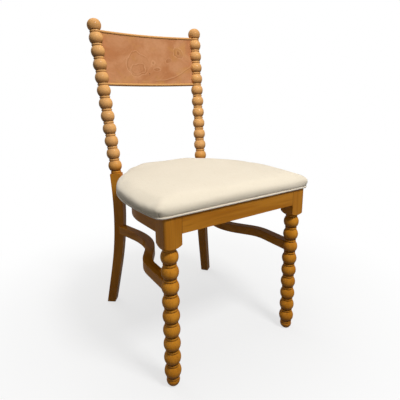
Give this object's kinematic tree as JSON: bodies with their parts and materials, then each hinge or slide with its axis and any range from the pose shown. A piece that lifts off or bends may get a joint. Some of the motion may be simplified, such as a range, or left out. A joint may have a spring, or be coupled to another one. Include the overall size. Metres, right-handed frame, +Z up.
{
  "type": "spool chair",
  "caption": "Wooden dining chair with spool-turned legs and back posts, bowed burl back panel, serpentine stretchers and a piped, crowned upholstered seat.",
  "frame": {"origin": "on the floor under the middle of the chair's bounding box", "axes": "+Z up, -Y towards the front of the seat, +X towards the sitter's left side"},
  "size_m": [0.497, 0.5264, 0.9248],
  "materials": {
    "turned_wood": "satin",
    "rail_wood": "satin",
    "burl_veneer": "satin",
    "inner_wood": "matte",
    "steel": "satin",
    "seat_fabric": "matte",
    "piping_fabric": "matte",
    "dust_cloth": "matte",
    "seat_padding": "matte"
  },
  "bodies": {
    "root": {"left_front_leg": "turned_wood", "right_front_leg": "turned_wood", "left_back_post": "turned_wood", "right_back_post": "turned_wood", "back_panel": "burl_veneer", "top_back_rail": "turned_wood", "lower_back_rail": "turned_wood", "front_seat_rail": "rail_wood", "left_seat_rail": "rail_wood", "right_seat_rail": "rail_wood", "rear_seat_rail": "rail_wood", "left_stretcher": "rail_wood", "right_stretcher": "rail_wood", "left_front_block": "inner_wood", "right_front_block": "inner_wood", "left_rear_block": "inner_wood", "right_rear_block": "inner_wood", "front_rail_dowels": "inner_wood", "side_rail_dowels": "inner_wood", "rear_rail_dowels": "inner_wood", "post_bolts": "steel", "corner_block_screws": "steel", "seat_screws": "steel", "seat_cover": "seat_fabric", "seat_dust_cover": "dust_cloth", "seat_board": "inner_wood", "seat_foam": "seat_padding", "seat_piping": "piping_fabric"}
  },
  "joints": []
}
